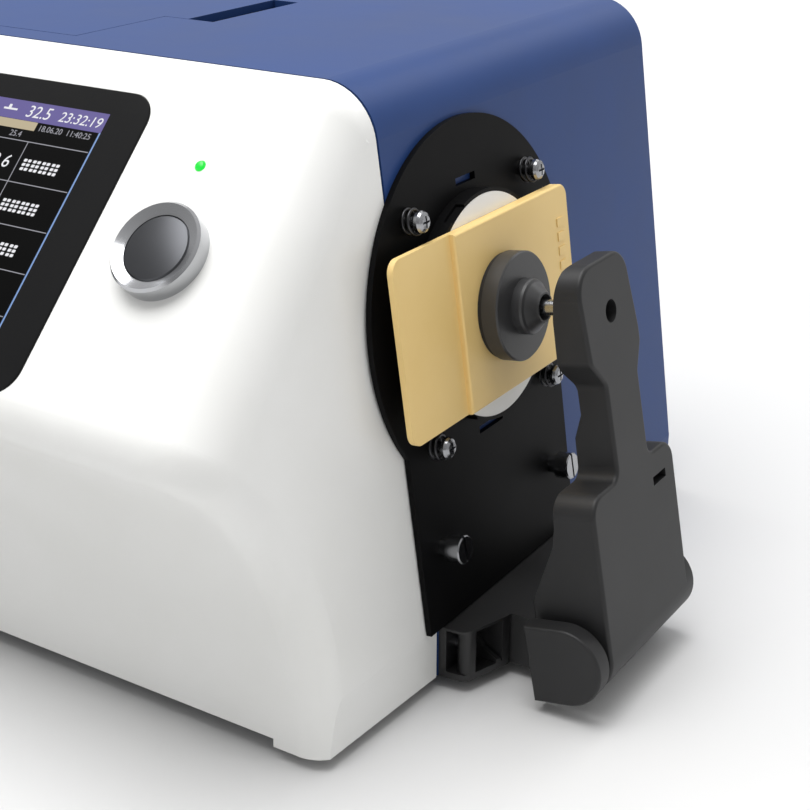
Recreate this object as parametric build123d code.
from build123d import *
import math
import os

os.makedirs("parts", exist_ok=True)

# ---------------------------------------------------------------- driving dimensions, mm
# X runs to the instrument's right, Y to its rear, Z up from the table.
# While it is modelled the case is centred on x = 0, with the joint of its two shells at y = 0.
CASE_W = 370.0          # width of the lower band
CASE_H = 200.0          # table to top
REAR_Y = 185.2          # rear face
FOOT_H = 4.5            # gap under the shells
BAND_H = 18.7           # height of the upright lower band of each side
SIDE_LEAN = 8.04        # sides lean in above the band, degrees
FRONT_TAPER = 3.2       # the front shell narrows towards its nose, degrees each side
TOP_LAND = 11.0         # flat top of the front shell, seam to bend
CHIN_Y = -61.5          # upright lower front
CHIN_R = 95.0           # hollow curve under the nose
CHIN_START = 28.0       # height above the shell's edge where that curve starts
WALL = 3.0              # moulded wall
SEAM = 1.0              # dark line between the shells
TOP_R = 19.0            # corner between top and side
BEND_R = 14.0           # between top and slope
NOSE_R = 12.0           # between slope and hollow

PANEL_W = 190.0         # black glass
PANEL_H = 105.3
PANEL_R = 10.0
PANEL_DROP = 63.85      # from the bend down the slope to the glass's middle
LCD_W = 156.8
LCD_H = 87.0

BUTTON_X = 124.5        # push-button, on the sloping panel
BUTTON_DROP = 62.0      # bend to the button's middle, down the slope
BUTTON_R = 15.0
BUTTON_RISE = 6.0
CAP_R = 10.9
CAP_TRAVEL = 1.5
CAP_UNDER = -4.0        # underside of the cap, from the slope
SHELF = -12.0           # spring's shelf inside the barrel
STEM_R = 3.0
PANEL_SEAT = 1.6        # the glass's recess
PANEL_PROUD = 0.5
LCD_BACK = -7.0
LED_X = 121.8
LED_DROP = 31.7
LED_R = 1.8

PORT_Y = 43.6           # measuring axis: distance behind the seam
PORT_V = 98.9           # and up the leaning side from the band
PLATE_T = 2.0
PLATE_R = 62.2
PLATE_HALF = 50.4      # half the width of the plate's straight lower part
PLATE_FOOT = 0.5        # lower edge, up from the band
RING_R = 38.3
RING_H = 8.0            # ring's face, out from the case side
DISC_R = 37.0
DISC_BACK = 5.4         # back of the white disc, out from the case side
SLOT_UP = 42.0          # plate's slots above and below the port
SPRING_TOP = 7.1        # underside of the spring screws' heads
PORT_R = 12.7           # 25.4 mm measuring hole
SCREW_SPAN = 73.6       # square of spring screws
CAPTIVE_SPAN = 75.4
CAPTIVE_V = 27.3

CHIP_Y0 = -15.0         # colour chip, along Y
CHIP_STEP_Y = 17.6
CHIP_Y1 = 92.0
CHIP_V0 = 69.8          # and up the side
CHIP_V1 = 129.0
CHIP_THIN = 2.1
CHIP_THICK = 4.0
CHIP_BACK = 8.05        # out from the case side
CHIP_CORNER = 4.5
MARKS = 5               # raised marks beside its rear edge

PUCK_R = 18.0
PAD_T = 1.6
PUCK_T = 5.8
HUB_R = 9.2
BALL_R = 4.0
BALL_OFF = 22.0         # ball's centre, out from the case side
STUD_R = 2.6

HINGE_X = 228.6         # clamp hinge, axis along Y
HINGE_Z = 19.6
ARM_LEAN = 11.0         # the closed arm leans in, degrees
ARM_MID_Y = 44.0
BARREL_R = 13.4
ARM_HALF = 30.4
PIN_R = 3.0
CAP_GAP = 1.8
HINGE_CAP_T = 6.6
HINGE_CAP_R = 13.5
PIN_COVER = 1.2         # cap left over the pin's ends
BOSS_Y = 79.0           # rear end of the arm's barrel
BRACKET_TOP = 23.5
POCKET_WALL = 2.8
KNUCKLES = ((22.0, 34.0), (54.0, 66.0))
KNUCKLE_R = 8.5
BRACKET_SCREW_Y = (10.4, 77.6)
BRACKET_SCREW_Z = 14.0

LID_X0 = -105.0         # transmission lid
LID_X1 = 30.5
LID_TAB_X = 41.4
LID_Y0 = 12.8
LID_Y1 = 117.5
LID_TAB_Y = 59.2
LID_T = 2.9
LID_AXIS_X = -101.1
LID_AXIS_Z = 195.9
LID_BARREL_R = 3.9
LID_PIN_R = 1.0
BAY_X0 = -96.8          # tray under the lid
BAY_Z = 140.0
CELL = 12.6             # square well for a cell
CELL_AT = (-33.0, 65.0)
SLOT_X1 = 53.0          # finger slot beside the lid
SLOT_Y1 = 110.0

GAP = 0.4               # gap round lids and buttons
RUN = 0.04              # radial running clearance
BARREL_CLEAR = 12.1     # hole for the button's threaded barrel
PORT_TUBE_R = 20.0      # tube from the port to the sphere

IO_X = -70.0            # rear connector panel
IO_W = 150.0
IO_Z0 = 26.0
IO_Z1 = 76.0
IO_MID = 51.0
IO_FACE = 182.2         # panel's outer face
IO_CUTS = ((-118, 28, 21), (-82, 16, 24), (-48, 12, 11), (-18, 20, 10))   # x, width, height
ROCKER_Y = 183.4
VENTS = 12              # slots in the rear wall
VENT_X = 30.0
VENT_Z0 = 40.0
VENT_Z1 = 110.0

SPHERE_OFF = -56.0      # sphere's centre, in from the case side
SPHERE_R = 50.0
LENS_R = 9.0
LAMP_R = 11.0
FLOOR_TOP = 6.2         # top of the sheet floor
BOARD_T = 1.6
MAIN_BOARD = (-80, 80, 40, 160)      # x0, x1, y0, y1
MAIN_Z = 24.0
POWER_BOARD = (-165, -95, 50, 150)
POWER_Z = 20.0

lean = math.radians(SIDE_LEAN)
taper = math.radians(FRONT_TAPER)
half_w = CASE_W / 2
band_z = FOOT_H + BAND_H
slope_top = -TOP_LAND
c45 = math.sqrt(0.5)

# ---------------------------------------------------------------- working planes
side_out = Vector(math.cos(lean), 0, math.sin(lean))
side_plane = Plane(origin=(half_w, 0, band_z), x_dir=(0, 1, 0), z_dir=side_out)
port_at = side_plane.origin + side_plane.x_dir * PORT_Y + side_plane.y_dir * PORT_V
port_plane = Plane(origin=port_at, x_dir=(0, 1, 0), z_dir=side_out)
slope_plane = Plane(origin=(0, slope_top, CASE_H), x_dir=(1, 0, 0), z_dir=(0, -c45, c45))
arm_tilt = math.radians(ARM_LEAN)
arm_out = Vector(math.cos(arm_tilt), 0, math.sin(arm_tilt))
arm_plane = Plane(origin=(HINGE_X, ARM_MID_Y, HINGE_Z), x_dir=(0, 1, 0), z_dir=arm_out)
arm_side = Plane(origin=(HINGE_X, ARM_MID_Y, HINGE_Z), x_dir=arm_out, z_dir=(0, -1, 0))
hinge_plane = Plane(origin=(HINGE_X, 0, HINGE_Z), x_dir=(1, 0, 0), z_dir=(0, 1, 0))
lid_plane = Plane(origin=(LID_AXIS_X, 0, LID_AXIS_Z), x_dir=(1, 0, 0), z_dir=(0, 1, 0))
east_plane = Plane(origin=(half_w, 0, 0), x_dir=(0, 1, 0), z_dir=(1, 0, 0))
rear_plane = Plane(origin=(0, IO_FACE, 0), x_dir=(-1, 0, 0), z_dir=(0, 1, 0))
rocker_plane = Plane(origin=(0, ROCKER_Y - 2, IO_MID), x_dir=(0, 1, 0), z_dir=(1, 0, 0))
sphere_at = port_at + side_out * SPHERE_OFF
lamp_plane = Plane(origin=sphere_at, x_dir=(0, 1, 0), z_dir=side_plane.y_dir)


# ---------------------------------------------------------------- small helpers
def on(plane, shape):
    """Move a shape drawn on the XY plane to a working plane."""
    return plane.location * shape


def disc(plane, radius, low, high, at=(0, 0)):
    """Cylinder standing on a working plane, from height low to height high."""
    mid = Location((at[0], at[1], (low + high) / 2))
    return on(plane, mid * Cylinder(radius, high - low))


def block(plane, x0, x1, y0, y1, z0, z1):
    """Box given by its limits on a working plane."""
    mid = Location(((x0 + x1) / 2, (y0 + y1) / 2, (z0 + z1) / 2))
    return on(plane, mid * Box(x1 - x0, y1 - y0, z1 - z0))


def prism(plane, points, low, high):
    """Straight-sided outline on a working plane, extruded from low to high."""
    face = make_face(Polyline(*points, close=True))
    solid = extrude(face, amount=high - low)
    return on(plane, Location((0, 0, low)) * solid)


def turned(plane, profile, at=(0, 0)):
    """Solid of revolution about a working plane's normal from (radius, height) points."""
    face = make_face(Plane.XZ * Polyline(*profile, close=True))
    return on(plane, Location((at[0], at[1], 0)) * revolve(face, Axis.Z))


def rounded_block(plane, x0, x1, y0, y1, z0, z1, radius):
    """Box whose four upright edges are rounded."""
    sketch = RectangleRounded(x1 - x0, y1 - y0, radius)
    solid = extrude(sketch, amount=z1 - z0)
    return on(plane, Location(((x0 + x1) / 2, (y0 + y1) / 2, z0)) * solid)


def coil(plane, radius, wire, turns, low, high, at=(0, 0), cone=0.0):
    """Open coil spring standing on a working plane between two heights."""
    rise = high - low - 2 * wire
    path = Helix(pitch=rise / turns, height=rise, radius=radius, cone_angle=cone)
    section = Plane(origin=path @ 0, z_dir=path % 0) * Circle(wire)
    solid = sweep(section, path=path, is_frenet=True)
    return on(plane, Location((at[0], at[1], low + wire)) * solid)


FLOOR = Plane.XY


# ---------------------------------------------------------------- casing
def side_cutters(inset, narrowing):
    """Planes of the right side: the upright band and the leaning wall above it."""
    spread = math.tan(math.radians(narrowing))
    kink = band_z + inset * math.tan(lean / 2)
    foot = Vector(half_w - inset / math.cos(math.radians(narrowing)), 0, kink)
    upright = Plane(origin=foot, z_dir=(1, -spread, 0))
    leaning = Plane(origin=foot, z_dir=(1, -spread, math.tan(lean)))
    return upright, leaning


def trim_sides(solid, inset, narrowing=0.0):
    """Cut a wide prism back to the case's left and right faces."""
    for plane in side_cutters(inset, narrowing):
        solid = split(solid, bisect_by=plane, keep=Keep.BOTTOM)
        solid = mirror(solid, about=Plane.YZ)
        solid = split(solid, bisect_by=plane, keep=Keep.BOTTOM)
        solid = mirror(solid, about=Plane.YZ)
    return solid


def nose_point(inset):
    """Where the chin's curve meets the slope, both moved in by inset."""
    centre_y = CHIN_Y - CHIN_R
    centre_z = FOOT_H + CHIN_START
    radius = CHIN_R + inset
    slope_sum = CASE_H - slope_top - inset / c45
    turn = (slope_sum + centre_y - centre_z) / (radius * math.sqrt(2))
    angle = math.asin(turn) + math.pi / 4
    return centre_y + radius * math.cos(angle), centre_z + radius * math.sin(angle), angle


def side_profile(inset, y_end, z_low):
    """Side view of the front shell as a face on the YZ plane."""
    nose_y, nose_z, angle = nose_point(inset)
    centre_y = CHIN_Y - CHIN_R
    centre_z = FOOT_H + CHIN_START
    radius = CHIN_R + inset
    middle = (centre_y + radius * math.cos(angle / 2), centre_z + radius * math.sin(angle / 2))
    bend_y = slope_top + inset * (math.sqrt(2) - 1)
    top = CASE_H - inset
    low_front = (CHIN_Y + inset, z_low)
    curve = Polyline((y_end, z_low), low_front, (CHIN_Y + inset, centre_z))
    curve += ThreePointArc((CHIN_Y + inset, centre_z), middle, (nose_y, nose_z))
    curve += Polyline((nose_y, nose_z), (bend_y, top), (y_end, top), (y_end, z_low))
    return Plane(origin=(0, 0, 0), x_dir=(0, 1, 0), z_dir=(1, 0, 0)) * make_face(curve)


def front_block(inset, y_end, z_low):
    """Solid front of the case inside its outer faces, moved in by inset."""
    side = extrude(side_profile(inset, y_end, z_low), amount=half_w + 10, both=True)
    return trim_sides(side, inset, FRONT_TAPER).solid()


def edges_near(solid, x, y, z, reach):
    """Edges on either side of the case whose middle is near a point."""
    spot = Vector(x, y, z)
    found = []
    for edge in solid.edges():
        mid = edge.center()
        if (Vector(abs(mid.X), mid.Y, mid.Z) - spot).length < reach:
            found.append(edge)
    return found


def round_front(solid, inset):
    """Round the front block's corners, each radius less the inset."""
    nose_y, nose_z, _ = nose_point(inset)
    top = CASE_H - inset
    bend_y = slope_top + inset * (math.sqrt(2) - 1)
    high_x = half_w - (top - band_z) * math.tan(lean)
    slope_mid = Vector(163.3 - inset, (bend_y + nose_y) / 2, (top + nose_z) / 2)
    corners = edges_near(solid, high_x, bend_y / 2, top, 9)
    corners += edges_near(solid, slope_mid.X, slope_mid.Y, slope_mid.Z, 9)
    solid = fillet(corners, TOP_R - inset).solid()
    solid = fillet(edges_near(solid, 0, bend_y, top, 4), BEND_R - inset / 2).solid()
    solid = fillet(edges_near(solid, 0, nose_y, nose_z, 4), NOSE_R - inset / 2).solid()
    return solid


def make_front_shell():
    """White front casing: open behind and below, with cut-outs for panel, button and lamp."""
    outer = round_front(front_block(0, -SEAM / 2, FOOT_H), 0)
    inner = round_front(front_block(WALL, 5, -5), WALL)
    shell = outer - inner
    pad = 0.15
    w = PANEL_W / 2 + pad
    h = PANEL_H / 2 + pad
    mid_y = -PANEL_DROP
    shell -= rounded_block(slope_plane, -w, w, mid_y - h, mid_y + h, -1.6, 3, PANEL_R)
    window_w = LCD_W / 2 + 4
    window_h = LCD_H / 2 + 3
    shell -= block(slope_plane, -window_w, window_w, mid_y - window_h, mid_y + window_h, -8, 3)
    shell -= disc(slope_plane, BARREL_CLEAR, -8, 3, (BUTTON_X, -BUTTON_DROP))
    shell -= disc(slope_plane, LED_R + 0.05, -8, 3, (LED_X, -LED_DROP))
    notch = half_w - 22
    shell -= block(FLOOR, -notch, notch, CHIN_Y - 9, CHIN_Y + 9, FOOT_H - 1, FOOT_H + 3)
    return shell


def case_outline(inset):
    """Rear view of the case as points (x, z), moved in by inset and open below."""
    kink = band_z + inset * math.tan(lean / 2)
    wide = half_w - inset
    high = wide - (CASE_H - inset - kink) * math.tan(lean)
    right = [(wide, FOOT_H if inset == 0 else 0), (wide, kink), (high, CASE_H - inset)]
    return right + [(-x, z) for x, z in reversed(right)]


def rear_block(inset, y0, y1):
    """Straight run of the case's section between two y, top corners rounded."""
    outline = make_face(Polyline(*case_outline(inset), close=True))
    section = Plane(origin=(0, y0, 0), x_dir=(-1, 0, 0), z_dir=(0, 1, 0)) * outline
    solid = extrude(section, amount=y1 - y0).solid()
    top = [e for e in solid.edges() if e.center().Z > CASE_H - inset - 1 and e.length > y1 - y0 - 1
           and abs(e.center().X) > 50]
    return fillet(top, TOP_R - inset).solid()


def make_rear_cover():
    """Blue rear casing: open in front and below, with lid opening, port and rear panel cut-out."""
    shell = rear_block(0, SEAM / 2, REAR_Y) - rear_block(WALL, -5, REAR_Y - WALL)
    x0 = LID_X0 - GAP
    shell -= block(FLOOR, x0, LID_X1 + GAP, LID_Y0 - GAP, LID_Y1 + GAP, CASE_H - 9, CASE_H + 1)
    tab_y = LID_TAB_Y - GAP
    shell -= block(FLOOR, LID_X1, LID_TAB_X + GAP, tab_y, LID_Y1 + GAP, CASE_H - 9, CASE_H + 1)
    shell -= block(FLOOR, LID_TAB_X, SLOT_X1, tab_y, SLOT_Y1, CASE_H - 9, CASE_H + 1)
    shell -= disc(port_plane, PORT_TUBE_R + 0.3, -20, 4)
    for y, z in screw_places(SCREW_SPAN):
        shell -= disc(port_plane, 1.9, -8, 1, (y, z))
    for y in (-CAPTIVE_SPAN / 2, CAPTIVE_SPAN / 2):
        shell -= disc(port_plane, 2.1, -8, 1, (y, CAPTIVE_V - PORT_V))
    for y in BRACKET_SCREW_Y:
        shell -= disc(east_plane, 2.0, -8, 1, (y, BRACKET_SCREW_Z))
    wide = IO_W / 2 - 4
    shell -= block(FLOOR, IO_X - wide, IO_X + wide, REAR_Y - 9, REAR_Y + 1, IO_Z0 + 4, IO_Z1 - 4)
    for n in range(VENTS):
        x = VENT_X + n * 9.0
        shell -= block(FLOOR, x, x + 3.5, REAR_Y - 9, REAR_Y + 1, VENT_Z0, VENT_Z1)
    return shell


def make_seam_gasket():
    """Dark strip that closes the line between the shells, a little below their faces."""
    band = rear_block(0.9, -SEAM / 2, SEAM / 2) - rear_block(WALL, -2, 2)
    return band - block(FLOOR, -half_w, half_w, -2, 2, 0, FOOT_H + 1.5)


def screw_places(span):
    half = span / 2
    return [(y, z) for y in (-half, half) for z in (-half, half)]


def make_base_plate():
    """Folded sheet floor inside both shells."""
    x = half_w - WALL - 6
    plate = block(FLOOR, -x, x, CHIN_Y + WALL + 1.2, REAR_Y - WALL - 0.3, FOOT_H + 0.2, FOOT_H + 1.7)
    for side in (-1, 1):
        a = side * x
        b = side * (x - 1.5)
        y0 = CHIN_Y + 30
        plate += block(FLOOR, min(a, b), max(a, b), y0, REAR_Y - 8, FOOT_H + 1.7, FOOT_H + 15)
    for x, y in foot_places():
        plate -= disc(FLOOR, 2.0, 0, 20, (x, y))
    return plate


def foot_places():
    return [(x, y) for x in (-150, 150) for y in (-40, 160)]


def make_feet():
    """Four rubber feet with the screw recess under each."""
    feet = []
    for x, y in foot_places():
        foot = turned(FLOOR, [(0, 1.8), (3.5, 1.8), (3.5, 0), (8.2, 0), (9, 0.8), (9, FOOT_H + 0.2),
                              (0, FOOT_H + 0.2)], (x, y))
        feet.append(foot - disc(FLOOR, 1.6, 0, 9, (x, y)))
    return Compound(children=feet)


def make_base_screws():
    """Screws that hold the feet to the floor plate."""
    screws = []
    for x, y in foot_places():
        head = disc(FLOOR, 3.3, 0.6, 1.8, (x, y))
        shank = disc(FLOOR, 1.58, 1.8, FOOT_H + 8, (x, y))
        cross = block(FLOOR, x - 2, x + 2, y - 0.4, y + 0.4, 0.5, 1.3)
        cross += block(FLOOR, x - 0.4, x + 0.4, y - 2, y + 2, 0.5, 1.3)
        screws.append(head + shank - cross)
    return Compound(children=screws)


# ---------------------------------------------------------------- front panel
def make_screen_glass():
    """Black glass over the display, standing slightly proud of the slope."""
    w = PANEL_W / 2
    h = PANEL_H / 2
    glass = rounded_block(slope_plane, -w, w, -PANEL_DROP - h, -PANEL_DROP + h,
                          -PANEL_SEAT, PANEL_PROUD, PANEL_R)
    rim = glass.faces().sort_by(Axis((0, 0, 0), slope_plane.z_dir))[-1].edges()
    return chamfer(rim, 0.25)


def make_lcd_panel():
    """Lit display module in the window behind the glass."""
    w = LCD_W / 2 + 3
    h = LCD_H / 2 + 2
    return block(slope_plane, -w, w, -PANEL_DROP - h, -PANEL_DROP + h, LCD_BACK, -PANEL_SEAT)


def make_display_board():
    """Circuit board on the display's back, with two connectors."""
    mid = -PANEL_DROP
    board = block(slope_plane, -78, 78, mid - 42, mid + 42, LCD_BACK - 1.6, LCD_BACK)
    for x in (-50, 30):
        board += block(slope_plane, x, x + 28, mid + 20, mid + 28, LCD_BACK - 7, LCD_BACK - 1.6)
    return board


def make_status_led():
    """Small domed indicator lamp set in the slope."""
    profile = [(0, -7), (1.5, -7), (1.5, -3.2), (LED_R + 0.7, -3.2), (LED_R + 0.7, -WALL),
               (LED_R, -WALL), (LED_R, 0.2), (1.3, 0.7), (0.6, 0.9), (0, 0.95)]
    return turned(slope_plane, profile, (LED_X, -LED_DROP))


def make_button_ring():
    """Metal bezel of the push-button with its threaded barrel and inner shelf."""
    bore = CAP_R + RUN
    stem = STEM_R + RUN
    profile = [(stem, -14), (12, -14), (12, 0), (BUTTON_R, 0), (BUTTON_R, 5.2),
               (14.2, BUTTON_RISE), (11.3, 4.7), (bore, 4.5), (bore, SHELF), (stem, SHELF)]
    return turned(slope_plane, profile, (BUTTON_X, -BUTTON_DROP))


def make_button_cap():
    """Domed cap with the stem that works the switch."""
    profile = [(0, -12.4), (STEM_R, -12.4), (STEM_R, CAP_UNDER), (CAP_R, CAP_UNDER), (CAP_R, 4.2),
               (10.3, 4.7), (7, 5.2), (3.5, 5.45), (0, 5.5)]
    return turned(slope_plane, profile, (BUTTON_X, -BUTTON_DROP))


def make_button_spring():
    """Return spring round the cap's stem."""
    return coil(slope_plane, 6.5, 0.5, 3, SHELF, CAP_UNDER, (BUTTON_X, -BUTTON_DROP))


def make_button_nut():
    """Hexagon nut that clamps the bezel to the shell."""
    hexagon = extrude(RegularPolygon(16.5, 6), amount=3.5) - Pos(0, 0, 1.75) * Cylinder(12, 4)
    return on(slope_plane, Location((BUTTON_X, -BUTTON_DROP, -WALL - 3.5)) * hexagon)


def make_button_switch():
    """Switch block under the barrel with its plunger and two tabs."""
    at = (BUTTON_X, -BUTTON_DROP)
    body = block(slope_plane, at[0] - 8, at[0] + 8, at[1] - 8, at[1] + 8, -28, -15.5)
    body += disc(slope_plane, 9.5, -15.5, -14, at) - disc(slope_plane, 4, -16, -13, at)
    body += disc(slope_plane, 2, -15.5, -14.1, at)
    for x in (-4, 4):
        body += block(slope_plane, at[0] + x - 0.4, at[0] + x + 0.4, at[1] - 2, at[1] + 2, -34, -28)
    return body


# ---------------------------------------------------------------- measuring port
def make_port_plate():
    """Sheet plate on the right side: a disc with a straight-sided foot."""
    foot = PLATE_FOOT - PORT_V
    plate = disc(port_plane, PLATE_R, 0, PLATE_T)
    plate += block(port_plane, -PLATE_HALF, PLATE_HALF, foot, 0, 0, PLATE_T)
    plate -= disc(port_plane, PORT_TUBE_R + 0.3, -1, PLATE_T + 1)
    for y, half in ((SLOT_UP, 6.0), (-SLOT_UP, 7.7)):
        plate -= block(port_plane, -half, half, y - 1.25, y + 1.25, -1, PLATE_T + 1)
    for place in screw_places(SCREW_SPAN):
        plate -= disc(port_plane, 1.95, -1, PLATE_T + 1, place)
    for x in (-CAPTIVE_SPAN / 2, CAPTIVE_SPAN / 2):
        plate -= disc(port_plane, 2.1, -1, PLATE_T + 1, (x, CAPTIVE_V - PORT_V))
    return plate


def make_aperture_ring():
    """Ring that carries the white aperture disc, with bayonet notches in its wall."""
    profile = [(33, PLATE_T), (RING_R, PLATE_T), (RING_R, RING_H), (DISC_R + 0.1, RING_H),
               (DISC_R + 0.1, DISC_BACK), (33, DISC_BACK)]
    ring = turned(port_plane, profile)
    for angle in (115, 235, 355):
        turn = Rot(0, 0, angle)
        notch = Pos(RING_R, 0, RING_H - 1.5) * Box(2.2, 9, 3.2)
        ring -= on(port_plane, turn * notch)
    return ring


def make_aperture_disc():
    """White disc with the round measuring hole, its edge countersunk."""
    face = RING_H - 0.05
    profile = [(PORT_R, DISC_BACK), (DISC_R, DISC_BACK), (DISC_R, face), (PORT_R + 0.6, face),
               (PORT_R, face - 0.6)]
    return turned(port_plane, profile)


def make_plate_screws():
    """Four spring-loaded cross-head screws."""
    screws = []
    for at in screw_places(SCREW_SPAN):
        profile = [(0, -9), (1.85, -9), (1.85, SPRING_TOP), (3.55, SPRING_TOP), (3.55, 8.2),
                   (3.1, 9.0), (2.1, 9.6), (0, 9.85)]
        screw = turned(port_plane, profile, at)
        x, y = at
        screw -= block(port_plane, x - 1.9, x + 1.9, y - 0.35, y + 0.35, 8.5, 10)
        screw -= block(port_plane, x - 0.35, x + 0.35, y - 1.9, y + 1.9, 8.5, 10)
        screws.append(screw)
    return Compound(children=screws)


def make_screw_springs():
    """Small coil springs under the four screw heads."""
    springs = [coil(port_plane, 3.9, 0.5, 2, PLATE_T, SPRING_TOP, at) for at in screw_places(SCREW_SPAN)]
    return Compound(children=springs)


def make_captive_screws():
    """Two slotted thumb screws near the plate's foot."""
    screws = []
    for x in (-CAPTIVE_SPAN / 2, CAPTIVE_SPAN / 2):
        y = CAPTIVE_V - PORT_V
        profile = [(0, -8), (2, -8), (2, PLATE_T), (3.2, PLATE_T), (3.2, 5.4), (4.8, 5.4),
                   (4.8, 10.4), (4.4, 10.8), (0, 10.8)]
        screw = turned(port_plane, profile, (x, y))
        slot = on(port_plane, Pos(x, y, 10.8) * Rot(0, 0, 94) * Box(12, 1.0, 2.6))
        screws.append(screw - slot)
    return Compound(children=screws)


def make_sample_chip():
    """Stepped colour chip: a thin part in front and a thick part behind, with raised marks."""
    y0 = CHIP_Y0 - PORT_Y
    step = CHIP_STEP_Y - PORT_Y
    y1 = CHIP_Y1 - PORT_Y
    v0 = CHIP_V0 - PORT_V
    v1 = CHIP_V1 - PORT_V
    thin = rounded_block(port_plane, y0, y1, v0, v1, CHIP_BACK, CHIP_BACK + CHIP_THIN, CHIP_CORNER)
    top = CHIP_BACK + CHIP_THICK
    thick = block(port_plane, step, y1, v0, v1, CHIP_BACK, top)
    outline = rounded_block(port_plane, y0, y1, v0, v1, CHIP_BACK - 1, top + 1, CHIP_CORNER)
    chip = thin + (thick & outline)
    rim = chip.faces().sort_by(Axis((0, 0, 0), side_out))[-1].edges()
    chip = fillet(rim, 0.8)
    for n in range(MARKS):
        v = v1 - 14 - n * 5.0
        chip += block(port_plane, y1 - 9.0, y1 - 4.6, v, v + 3.0, top - 0.1, top + 0.35)
    return chip


# ---------------------------------------------------------------- sample clamp
def make_clamp_bracket():
    """Bracket on the case side: two open pockets, a beam between them and the hinge knuckles."""
    z0 = FOOT_H
    z1 = BRACKET_TOP
    far = 2 * ARM_MID_Y
    x0 = half_w
    x1 = half_w + 16
    x2 = half_w + 28
    plan = [(x0, 0.7), (x0 + 10, 1.6), (x1, 19.4), (x1, 21), (x2, 21), (x2, far - 21), (x1, far - 21),
            (x1, far - 19.4), (x0 + 10, far - 1.6), (x0, far - 0.7)]
    body = prism(FLOOR, plan, z0, z1).solid()
    corners = [e for e in body.edges() if e.length > z1 - z0 - 0.5 and abs(e.center().X - x0 - 10) < 0.5]
    body = fillet(corners, 4).solid()
    inside = x0 + POCKET_WALL
    shelf = z0 + 2.4
    pocket = block(FLOOR, inside, x1 + 9, -1, 17, shelf, z1 - 1)
    pocket -= disc(FLOOR, 3.1, z0, z1, (x0 + 8.3, 5.3))
    gusset = [(inside, z1), (inside + 3, z0 + 12), (inside + 6, z0 + 7), (x1 + 1, shelf), (inside, shelf)]
    pocket -= prism(Plane.XZ, gusset, -16.5, -14.5)
    body -= pocket
    body -= mirror(pocket, about=Plane(origin=(0, ARM_MID_Y, 0), z_dir=(0, 1, 0)))
    body += block(FLOOR, x2, HINGE_X - 7, 23, far - 23, z1 - 9, z1)
    for y0, y1 in KNUCKLES:
        body += block(FLOOR, x2, HINGE_X, y0, y1, z1 - 9, z1)
        body += disc(hinge_plane, KNUCKLE_R, y0, y1)
        body -= disc(hinge_plane, PIN_R + RUN, y0 - 1, y1 + 1)
    for y in BRACKET_SCREW_Y:
        body -= disc(east_plane, 2.1, -1, 4, (y, BRACKET_SCREW_Z))
    return body


def make_bracket_screws():
    """Pan-head screws in the bracket's pockets."""
    screws = []
    for y in BRACKET_SCREW_Y:
        profile = [(0, -6), (1.9, -6), (1.9, 2.8), (3, 2.8), (3, 4.4), (2.2, 5.1), (0, 5.3)]
        screw = turned(east_plane, profile, (y, BRACKET_SCREW_Z))
        z = BRACKET_SCREW_Z
        screw -= block(east_plane, y - 1.9, y + 1.9, z - 0.35, z + 0.35, 4.3, 6)
        screw -= block(east_plane, y - 0.35, y + 0.35, z - 1.9, z + 1.9, 4.3, 6)
        screws.append(screw)
    return Compound(children=screws)


def arm_outline():
    """Front view of the clamp arm as a face: broad foot, narrow waist, broad head."""
    points = [(-30.2, -BARREL_R), (-28.7, 54.5), (-9.4, 54.5), (-9.4, 86), (-17.3, 95), (-19.2, 116),
              (-18.6, 125.5), (13.4, 125.5), (17.6, 98), (17.6, 93), (13.2, 84), (13.2, 54.5),
              (31, 54.5), (30.2, -BARREL_R)]
    face = make_face(Polyline(*points, close=True))
    shoulders = [v for v in face.vertices() if abs(v.Y - 54.5) < 1 and abs(v.X) > 20]
    waist = [v for v in face.vertices() if 50 < v.Y < 110 and v not in shoulders]
    face = fillet(waist, 4)
    shoulders = [v for v in face.vertices() if abs(v.Y - 54.5) < 1 and abs(v.X) > 20]
    face = fillet(shoulders, 7)
    tips = [v for v in face.vertices() if v.Y > 125]
    return fillet(tips, 9)


def make_clamp_arm():
    """Sprung arm: its outline cut through its side profile, hollow at the hinge."""
    slab = on(arm_plane, Location((0, 0, -BARREL_R)) * extrude(arm_outline(), amount=2 * BARREL_R))
    profile = [(BARREL_R, 0), (BARREL_R, 129.5), (8.6, 128), (5.6, 124.5), (2.6, 110), (1.0, 92),
               (2.7, 84), (2.7, 76), (-0.5, 68), (-1.5, 44.4), (-3, 37.6), (-BARREL_R, 17),
               (-BARREL_R, 0)]
    side = prism(arm_side, profile, -40, 40) + disc(arm_side, BARREL_R, -40, 40)
    arm = (slab & side).solid()
    front_edges = [e for e in arm.edges().group_by(Axis((0, 0, 0), arm_out))[-1] if e.length > 1]
    arm = fillet(front_edges, 1.2).solid()
    arm += disc(hinge_plane, BARREL_R, ARM_MID_Y + 28, BOSS_Y)
    half = ARM_HALF - 6.9
    arm -= block(arm_plane, -half, half, -BARREL_R - 1, 17, -BARREL_R - 1, BARREL_R - 3)
    arm -= block(arm_plane, -half, half, -BARREL_R - 1, 0, -BARREL_R - 1, 3)
    arm -= disc(hinge_plane, PIN_R, 0, BOSS_Y - PIN_COVER)
    arm -= disc(port_plane, STUD_R, 30, 46)
    arm -= disc(port_plane, 3.7, 44.5, 60)
    arm -= block(arm_plane, 14, 23.5, 43, 46, 6, BARREL_R + 1)
    return arm.solid()


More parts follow.
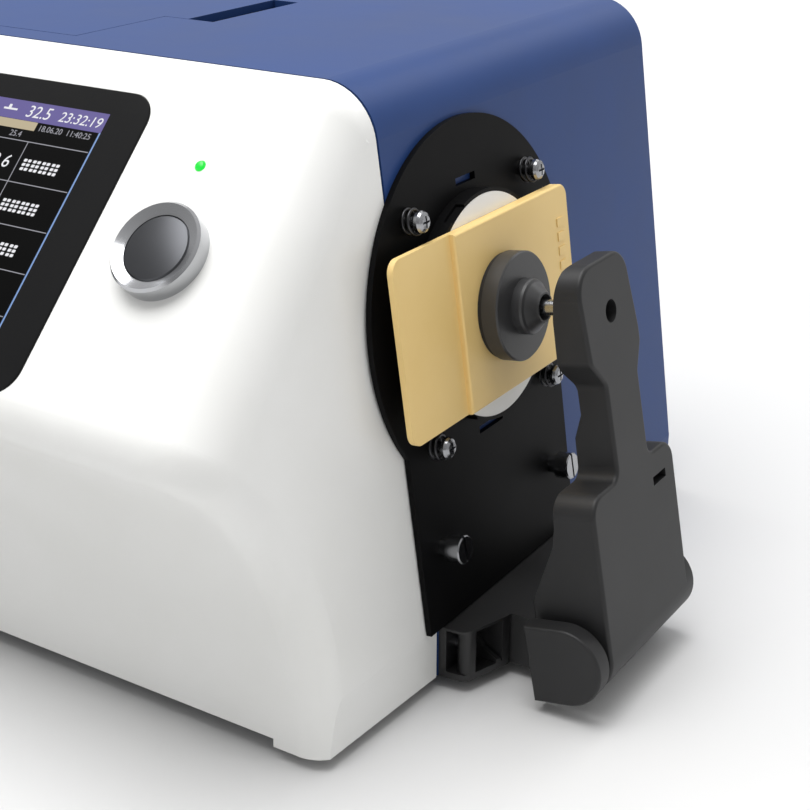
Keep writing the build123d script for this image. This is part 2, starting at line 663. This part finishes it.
def make_hinge_cap():
    """End cap in front of the hinge: square towards the case, round outside."""
    low = ARM_HALF + CAP_GAP
    high = low + HINGE_CAP_T
    cap = disc(arm_side, HINGE_CAP_R, low, high)
    cap += block(arm_side, -12.5, 0, -HINGE_CAP_R, HINGE_CAP_R, low, high)
    cap -= block(arm_side, -15, -12.5, -15, 15, low - 1, high + 1)
    rim = cap.faces().sort_by(Axis.Y)[0].edges()
    cap = fillet(rim, 1.0)
    return cap - disc(arm_side, PIN_R, low - 1, high - PIN_COVER)


def make_hinge_pin():
    """Steel pin through caps, arm and bracket knuckles."""
    front = ARM_MID_Y - ARM_HALF - CAP_GAP - HINGE_CAP_T
    return disc(hinge_plane, PIN_R, front + PIN_COVER, BOSS_Y - PIN_COVER)


def make_clamp_spring():
    """Torsion spring between the knuckles with one leg on the web and one up the arm."""
    spring = coil(hinge_plane, 5.2, 0.9, 6, 35.5, 52.5)
    return spring


def make_press_puck():
    """Round presser with the hub that snaps over the ball."""
    face = CHIP_BACK + CHIP_THICK + PAD_T
    back = face + PUCK_T
    profile = [(0, face), (PUCK_R, face), (PUCK_R, back - 0.5), (PUCK_R - 0.5, back), (HUB_R, back),
               (HUB_R, back + 2.9), (HUB_R - 0.4, back + 3.7), (HUB_R - 1.2, back + 4.2),
               (5.2, back + 7.2), (4.9, back + 7.6), (4.3, back + 7.6),
               (3.5, BALL_OFF + 2), (0, BALL_OFF + 2)]
    puck = turned(port_plane, profile)
    return puck - on(port_plane, Pos(0, 0, BALL_OFF) * Sphere(BALL_R + RUN))


def make_puck_pad():
    """Soft pad on the presser's face."""
    return disc(port_plane, PUCK_R - 0.6, CHIP_BACK + CHIP_THICK, CHIP_BACK + CHIP_THICK + PAD_T)


def make_ball_stud():
    """Ball and rod that hang the presser from the arm."""
    rod = disc(port_plane, STUD_R, BALL_OFF, 44)
    return rod + on(port_plane, Pos(0, 0, BALL_OFF) * Sphere(BALL_R))


def make_stud_nut():
    """Hexagon nut on the stud, against the arm's inner face."""
    nut = extrude(RegularPolygon(5.2, 6), amount=3.2) - Cylinder(STUD_R, 20)
    return on(port_plane, Location((0, 0, 35.9)) * nut)


# ---------------------------------------------------------------- transmission compartment
def make_top_lid():
    """Hinged lid with a lifting tab; its left edge is the hinge barrel."""
    z0 = CASE_H - LID_T
    lid = block(FLOOR, LID_AXIS_X, LID_X1, LID_Y0, LID_Y1, z0, CASE_H)
    lid += block(FLOOR, LID_X1 - 1, LID_TAB_X, LID_TAB_Y, LID_Y1, z0, CASE_H)
    lid += disc(lid_plane, LID_BARREL_R, LID_Y0, LID_Y1)
    return lid - disc(lid_plane, LID_PIN_R + RUN, LID_Y0 - 1, LID_Y1 + 1)


def make_lid_pin():
    """Thin pin of the lid's hinge."""
    return disc(lid_plane, LID_PIN_R, 8.5, 122)


def make_sample_bay():
    """Dark tray under the lid with a shallow finger well beside it."""
    top = CASE_H - WALL
    bay = block(FLOOR, BAY_X0, 31, 15, 115, BAY_Z, top)
    bay += block(FLOOR, 28, 56, 56, 113, 182, top)
    bay += block(FLOOR, BAY_X0, 60, 6, 124, top - 2.5, top)
    for y0, y1 in ((8, 12.3), (118, 122)):
        bay += block(FLOOR, -105, BAY_X0 + 2, y0, y1, 191, top)
    bay -= block(FLOOR, BAY_X0 + 3, 28, 18, 112, BAY_Z + 3, top + 1)
    bay -= block(FLOOR, 31, 53.4, 58.4, 110.4, 184.5, top + 1)
    bay -= disc(lid_plane, LID_PIN_R, 0, 130)
    bay -= disc(east_plane, 6, -160, -152, (65, 165))
    return bay


def make_cuvette_holder():
    """Square holder for a 12.5 mm cell with slots for the light path."""
    x, y = CELL_AT
    z = BAY_Z + 3
    holder = block(FLOOR, x - 12, x + 12, y - 12, y + 12, z, z + 38)
    holder += block(FLOOR, x - 20, x + 20, y - 12, y + 12, z, z + 3)
    holder -= block(FLOOR, x - CELL / 2, x + CELL / 2, y - CELL / 2, y + CELL / 2, z + 3, z + 40)
    holder -= block(FLOOR, x - 13, x + 13, y - 3, y + 3, z + 10, z + 30)
    return holder


# ---------------------------------------------------------------- optics
def sphere_shell():
    ball = on(port_plane, Pos(0, 0, SPHERE_OFF) * (Sphere(SPHERE_R) - Sphere(SPHERE_R - 4)))
    neck = disc(port_plane, PORT_TUBE_R, SPHERE_OFF + SPHERE_R - 6, DISC_BACK)
    flange = disc(port_plane, SPHERE_R + 4, SPHERE_OFF - 2.5, SPHERE_OFF + 2.5)
    flange -= on(port_plane, Pos(0, 0, SPHERE_OFF) * Sphere(SPHERE_R - 2))
    shell = ball + neck + flange
    shell -= disc(port_plane, PORT_R + 1, SPHERE_OFF + 20, 20)
    shell -= disc(port_plane, 8, SPHERE_OFF - 60, SPHERE_OFF - 20)
    shell -= disc(lamp_plane, 7, 20, 60)
    return shell - disc(lamp_plane, LAMP_R, SPHERE_R + 0.3, 70)


def make_sphere_half(side):
    """One half of the integrating sphere, on the port's side (+1) or the detector's (-1)."""
    shell = sphere_shell()
    start = SPHERE_OFF if side > 0 else SPHERE_OFF - 90
    return shell & block(port_plane, -90, 90, -90, 90, start, start + 90)


def make_flash_lamp():
    """Xenon lamp housing on top of the sphere."""
    profile = [(0, 48), (7, 48), (7, SPHERE_R + 0.3), (LAMP_R, SPHERE_R + 0.3), (LAMP_R, 72), (8, 75), (0, 75)]
    return turned(lamp_plane, profile)


def make_detector_tube():
    """Tube from the sphere to the spectrometer."""
    far = SPHERE_OFF - SPHERE_R - 38
    tube = disc(port_plane, 12, far, SPHERE_OFF - SPHERE_R + 2)
    tube -= disc(port_plane, LENS_R, far - 1, SPHERE_OFF - 40)
    return tube - on(port_plane, Pos(0, 0, SPHERE_OFF) * Sphere(SPHERE_R))


def make_detector_lens():
    """Convex lens inside the tube."""
    mid = SPHERE_OFF - SPHERE_R - 18
    profile = [(0, mid - 3), (5, mid - 2.3), (LENS_R, mid - 1), (LENS_R, mid + 1), (5, mid + 2.3),
               (0, mid + 3)]
    return turned(port_plane, profile)


def make_spectrometer():
    """Closed grating housing with a cover rib and a signal socket."""
    near = SPHERE_OFF - SPHERE_R - 38
    box = block(port_plane, -30, 30, -22, 22, near - 70, near)
    box += block(port_plane, -26, 26, 22, 23.5, near - 66, near - 4)
    return box + block(port_plane, -12, 12, -12, 0, near - 75, near - 70)


# ---------------------------------------------------------------- electronics
def board_posts(x0, x1, y0, y1):
    return [(x, y) for x in (x0 + 5, x1 - 5) for y in (y0 + 5, y1 - 5)]


def make_board(x0, x1, y0, y1, z):
    """Circuit board with its four mounting holes."""
    board = block(FLOOR, x0, x1, y0, y1, z, z + BOARD_T)
    for place in board_posts(x0, x1, y0, y1):
        board -= disc(FLOOR, 1.6, z - 1, z + 3, place)
    return board


def make_standoffs():
    """Hexagon posts under both boards, each with its screw head."""
    posts = []
    for limits, z in ((MAIN_BOARD, MAIN_Z), (POWER_BOARD, POWER_Z)):
        for x, y in board_posts(*limits):
            post = extrude(RegularPolygon(3.2, 6), amount=z - FLOOR_TOP)
            post = Location((x, y, FLOOR_TOP)) * post
            post += disc(FLOOR, 1.55, z - 1, z + BOARD_T, (x, y))
            post += disc(FLOOR, 3, z + BOARD_T, z + BOARD_T + 1.6, (x, y))
            posts.append(post)
    return Compound(children=posts)


def make_board_chips():
    """Packages and connectors on the main board."""
    z = MAIN_Z + BOARD_T
    chips = []
    for x, y, w, d, h in ((-40, 60, 28, 28, 3), (5, 65, 14, 20, 2.5), (30, 100, 20, 10, 2.5),
                          (-60, 110, 12, 12, 2), (-20, 120, 34, 9, 9), (40, 60, 16, 16, 6)):
        chips.append(block(FLOOR, x, x + w, y, y + d, z, z + h))
    return Compound(children=chips)


def make_power_board():
    """Supply board with transformer, two capacitors and a heat sink."""
    x0, x1, y0, y1 = POWER_BOARD
    board = make_board(x0, x1, y0, y1, POWER_Z)
    z = POWER_Z + BOARD_T
    board += block(FLOOR, x0 + 14, x0 + 44, y0 + 30, y0 + 60, z, z + 24)
    for n in range(2):
        board += disc(FLOOR, 7, z, z + 22, (x0 + 20 + n * 20, y0 + 15))
    for n in range(5):
        x = x1 - 16 + n * 2.4
        board += block(FLOOR, x, x + 1.0, y0 + 20, y0 + 70, z, z + 20)
    return board


# ---------------------------------------------------------------- rear connectors
def make_io_panel():
    """Sheet panel inside the rear opening, cut for its sockets."""
    y0 = IO_FACE - 1.5
    panel = block(FLOOR, IO_X - IO_W / 2, IO_X + IO_W / 2, y0, IO_FACE, IO_Z0, IO_Z1)
    for x, w, h in IO_CUTS:
        panel -= block(FLOOR, x - w / 2, x + w / 2, y0 - 1, IO_FACE + 1, IO_MID - h / 2, IO_MID + h / 2)
    for x, z in io_screw_places():
        panel -= disc(rear_plane, 1.6, -9, 9, (-x, z))
    return panel


def io_screw_places():
    half = IO_W / 2 - 8
    return [(IO_X + sx * half, z) for sx in (-1, 1) for z in (IO_MID - 16, IO_MID + 16)]


def make_panel_screws():
    """Pan-head screws of the connector panel."""
    screws = []
    for x, z in io_screw_places():
        profile = [(0, -5), (1.55, -5), (1.55, 0), (2.9, 0), (2.9, 1), (2, 1.7), (0, 1.9)]
        screw = turned(rear_plane, profile, (-x, z))
        screw -= block(rear_plane, -x - 1.5, -x + 1.5, z - 0.3, z + 0.3, 0.9, 3)
        screw -= block(rear_plane, -x - 0.3, -x + 0.3, z - 1.5, z + 1.5, 0.9, 3)
        screws.append(screw)
    return Compound(children=screws)


def make_power_inlet():
    """Three-pin mains inlet."""
    x, w, h = IO_CUTS[0]
    z0 = IO_MID - h / 2
    z1 = IO_MID + h / 2
    body = block(FLOOR, x - w / 2, x + w / 2, IO_FACE - 24, IO_FACE + 2.5, z0, z1)
    body += block(FLOOR, x - w / 2 - 2, x + w / 2 + 2, IO_FACE, IO_FACE + 2.5, z0 - 2, z1 + 2)
    body -= block(FLOOR, x - 12, x + 12, IO_FACE - 15, IO_FACE + 4, IO_MID - 8, IO_MID + 8)
    for dx, dz in ((-7, -2), (0, 3), (7, -2)):
        body += block(FLOOR, x + dx - 1, x + dx + 1, IO_FACE - 16, IO_FACE - 1,
                      IO_MID + dz - 2, IO_MID + dz + 2)
    return body


def make_rocker_housing():
    """Frame of the mains switch with the bearing of its rocker."""
    x, w, h = IO_CUTS[1]
    body = block(FLOOR, x - w / 2, x + w / 2, IO_FACE - 20, IO_FACE + 2, IO_MID - h / 2, IO_MID + h / 2)
    body += block(FLOOR, x - w / 2 - 1.5, x + w / 2 + 1.5, IO_FACE, IO_FACE + 2,
                  IO_MID - h / 2 - 1.5, IO_MID + h / 2 + 1.5)
    body -= block(FLOOR, x - 6, x + 6, IO_FACE - 14, IO_FACE + 3, IO_MID - 10.5, IO_MID + 10.5)
    return body + disc(rocker_plane, 1.2, x - 6.5, x + 6.5)


def make_power_rocker():
    """Rocker of the mains switch, one end pressed in."""
    x = IO_CUTS[1][0]
    w = 5.7
    face = [(-3.2, -9), (2.8, -9), (0.6, 0), (3.4, 9), (-3.2, 9), (-5.5, 3), (-5.5, -3)]
    points = [(ROCKER_Y + a, IO_MID + b) for a, b in face]
    rocker = prism(Plane.YZ, points, x - w, x + w)
    return rocker - disc(rocker_plane, 1.2 + RUN, x - 9, x + 9)


def make_usb_socket():
    """Square device socket with its contact tongue."""
    x, w, h = IO_CUTS[2]
    z0 = IO_MID - h / 2
    z1 = IO_MID + h / 2
    shell = block(FLOOR, x - w / 2, x + w / 2, IO_FACE - 14, IO_FACE + 1, z0, z1)
    shell -= block(FLOOR, x - w / 2 + 1, x + w / 2 - 1, IO_FACE - 12, IO_FACE + 2, z0 + 1, z1 - 1)
    return shell + block(FLOOR, x - 2.8, x + 2.8, IO_FACE - 13, IO_FACE - 1, IO_MID - 1.6, IO_MID + 1.6)


def make_serial_socket():
    """Nine-way serial socket: tapered shell on a flange with two posts."""
    x, w, h = IO_CUTS[3]
    body = block(FLOOR, x - w / 2, x + w / 2, IO_FACE - 10, IO_FACE + 0.8, IO_MID - h / 2, IO_MID + h / 2)
    body += block(FLOOR, x - 15.5, x + 15.5, IO_FACE, IO_FACE + 0.8, IO_MID - 6.2, IO_MID + 6.2)
    shell = [(-8.6, 4.2), (8.6, 4.2), (7.2, -4.2), (-7.2, -4.2)]
    hollow = [(a * 0.93, b * 0.88) for a, b in shell]
    outer = prism(rear_plane, [(a - x, IO_MID + b) for a, b in shell], 0.8, 6)
    body += outer - prism(rear_plane, [(a - x, IO_MID + b) for a, b in hollow], 1.5, 7)
    for n in range(9):
        row = 1.4 if n < 5 else -1.4
        place = x - 5.5 + 2.75 * n if n < 5 else x - 4.1 + 2.75 * (n - 5)
        body += disc(rear_plane, 0.5, 1, 5.2, (-place, IO_MID + row))
    for side in (-1, 1):
        body += disc(rear_plane, 2.4, 0.8, 5, (side * 12.5 - x, IO_MID))
    return body


# ---------------------------------------------------------------- write every piece
pieces = {
    "front_shell": make_front_shell(),
    "rear_cover": make_rear_cover(),
    "seam_gasket": make_seam_gasket(),
    "base_plate": make_base_plate(),
    "feet": make_feet(),
    "base_screws": make_base_screws(),
    "screen_glass": make_screen_glass(),
    "lcd_panel": make_lcd_panel(),
    "display_board": make_display_board(),
    "status_led": make_status_led(),
    "button_ring": make_button_ring(),
    "button_cap": make_button_cap(),
    "button_spring": make_button_spring(),
    "button_nut": make_button_nut(),
    "button_switch": make_button_switch(),
    "port_plate": make_port_plate(),
    "aperture_ring": make_aperture_ring(),
    "aperture_disc": make_aperture_disc(),
    "plate_screws": make_plate_screws(),
    "screw_springs": make_screw_springs(),
    "captive_screws": make_captive_screws(),
    "sample_chip": make_sample_chip(),
    "clamp_bracket": make_clamp_bracket(),
    "bracket_screws": make_bracket_screws(),
    "clamp_arm": make_clamp_arm(),
    "hinge_cap": make_hinge_cap(),
    "hinge_pin": make_hinge_pin(),
    "clamp_spring": make_clamp_spring(),
    "press_puck": make_press_puck(),
    "puck_pad": make_puck_pad(),
    "ball_stud": make_ball_stud(),
    "stud_nut": make_stud_nut(),
    "top_lid": make_top_lid(),
    "lid_pin": make_lid_pin(),
    "sample_bay": make_sample_bay(),
    "cuvette_holder": make_cuvette_holder(),
    "sphere_port_half": make_sphere_half(1),
    "sphere_back_half": make_sphere_half(-1),
    "flash_lamp": make_flash_lamp(),
    "detector_tube": make_detector_tube(),
    "detector_lens": make_detector_lens(),
    "spectrometer": make_spectrometer(),
    "main_board": make_board(*MAIN_BOARD, MAIN_Z),
    "standoffs": make_standoffs(),
    "board_chips": make_board_chips(),
    "power_board": make_power_board(),
    "io_panel": make_io_panel(),
    "panel_screws": make_panel_screws(),
    "power_inlet": make_power_inlet(),
    "rocker_housing": make_rocker_housing(),
    "power_rocker": make_power_rocker(),
    "usb_socket": make_usb_socket(),
    "serial_socket": make_serial_socket(),
}

# the whole instrument stands on z = 0 with its footprint centred on the origin
boxes = [piece.bounding_box() for piece in pieces.values()]
west = min(box.min.X for box in boxes)
east = max(box.max.X for box in boxes)
south = min(box.min.Y for box in boxes)
north = max(box.max.Y for box in boxes)
lowest = min(box.min.Z for box in boxes)
shift = Location((-(west + east) / 2, -(south + north) / 2, -lowest))
for name, piece in pieces.items():
    export_step(shift * piece, "parts/" + name + ".step")
